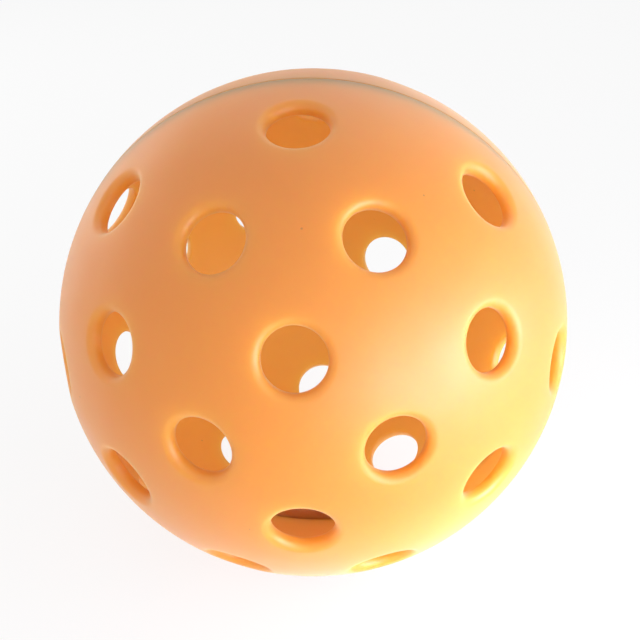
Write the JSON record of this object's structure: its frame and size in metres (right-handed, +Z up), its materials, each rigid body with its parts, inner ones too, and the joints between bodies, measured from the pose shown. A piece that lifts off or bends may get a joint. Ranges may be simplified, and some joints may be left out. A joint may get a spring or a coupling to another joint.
{
  "type": "pickleball ball",
  "caption": "Hollow perforated plastic ball for outdoor pickleball: two welded half shells with staggered rings of round, soft-edged holes.",
  "frame": {"origin": "the centre of the ball", "axes": "+Z up; the pole axis of the two mouldings lies along Y, with the front moulding's pole at -Y, and the weld lies in the XZ plane"},
  "size_m": [0.074, 0.074, 0.074],
  "materials": {
    "shell_plastic": "injection-moulded polyethylene, orange, slightly translucent and waxy, satin",
    "weld_plastic": "the same orange polyethylene melted and re-set at the weld, satin"
  },
  "bodies": {
    "root": {"front_half_shell": "shell_plastic", "rear_half_shell": "shell_plastic", "weld_ring": "weld_plastic"}
  },
  "joints": []
}
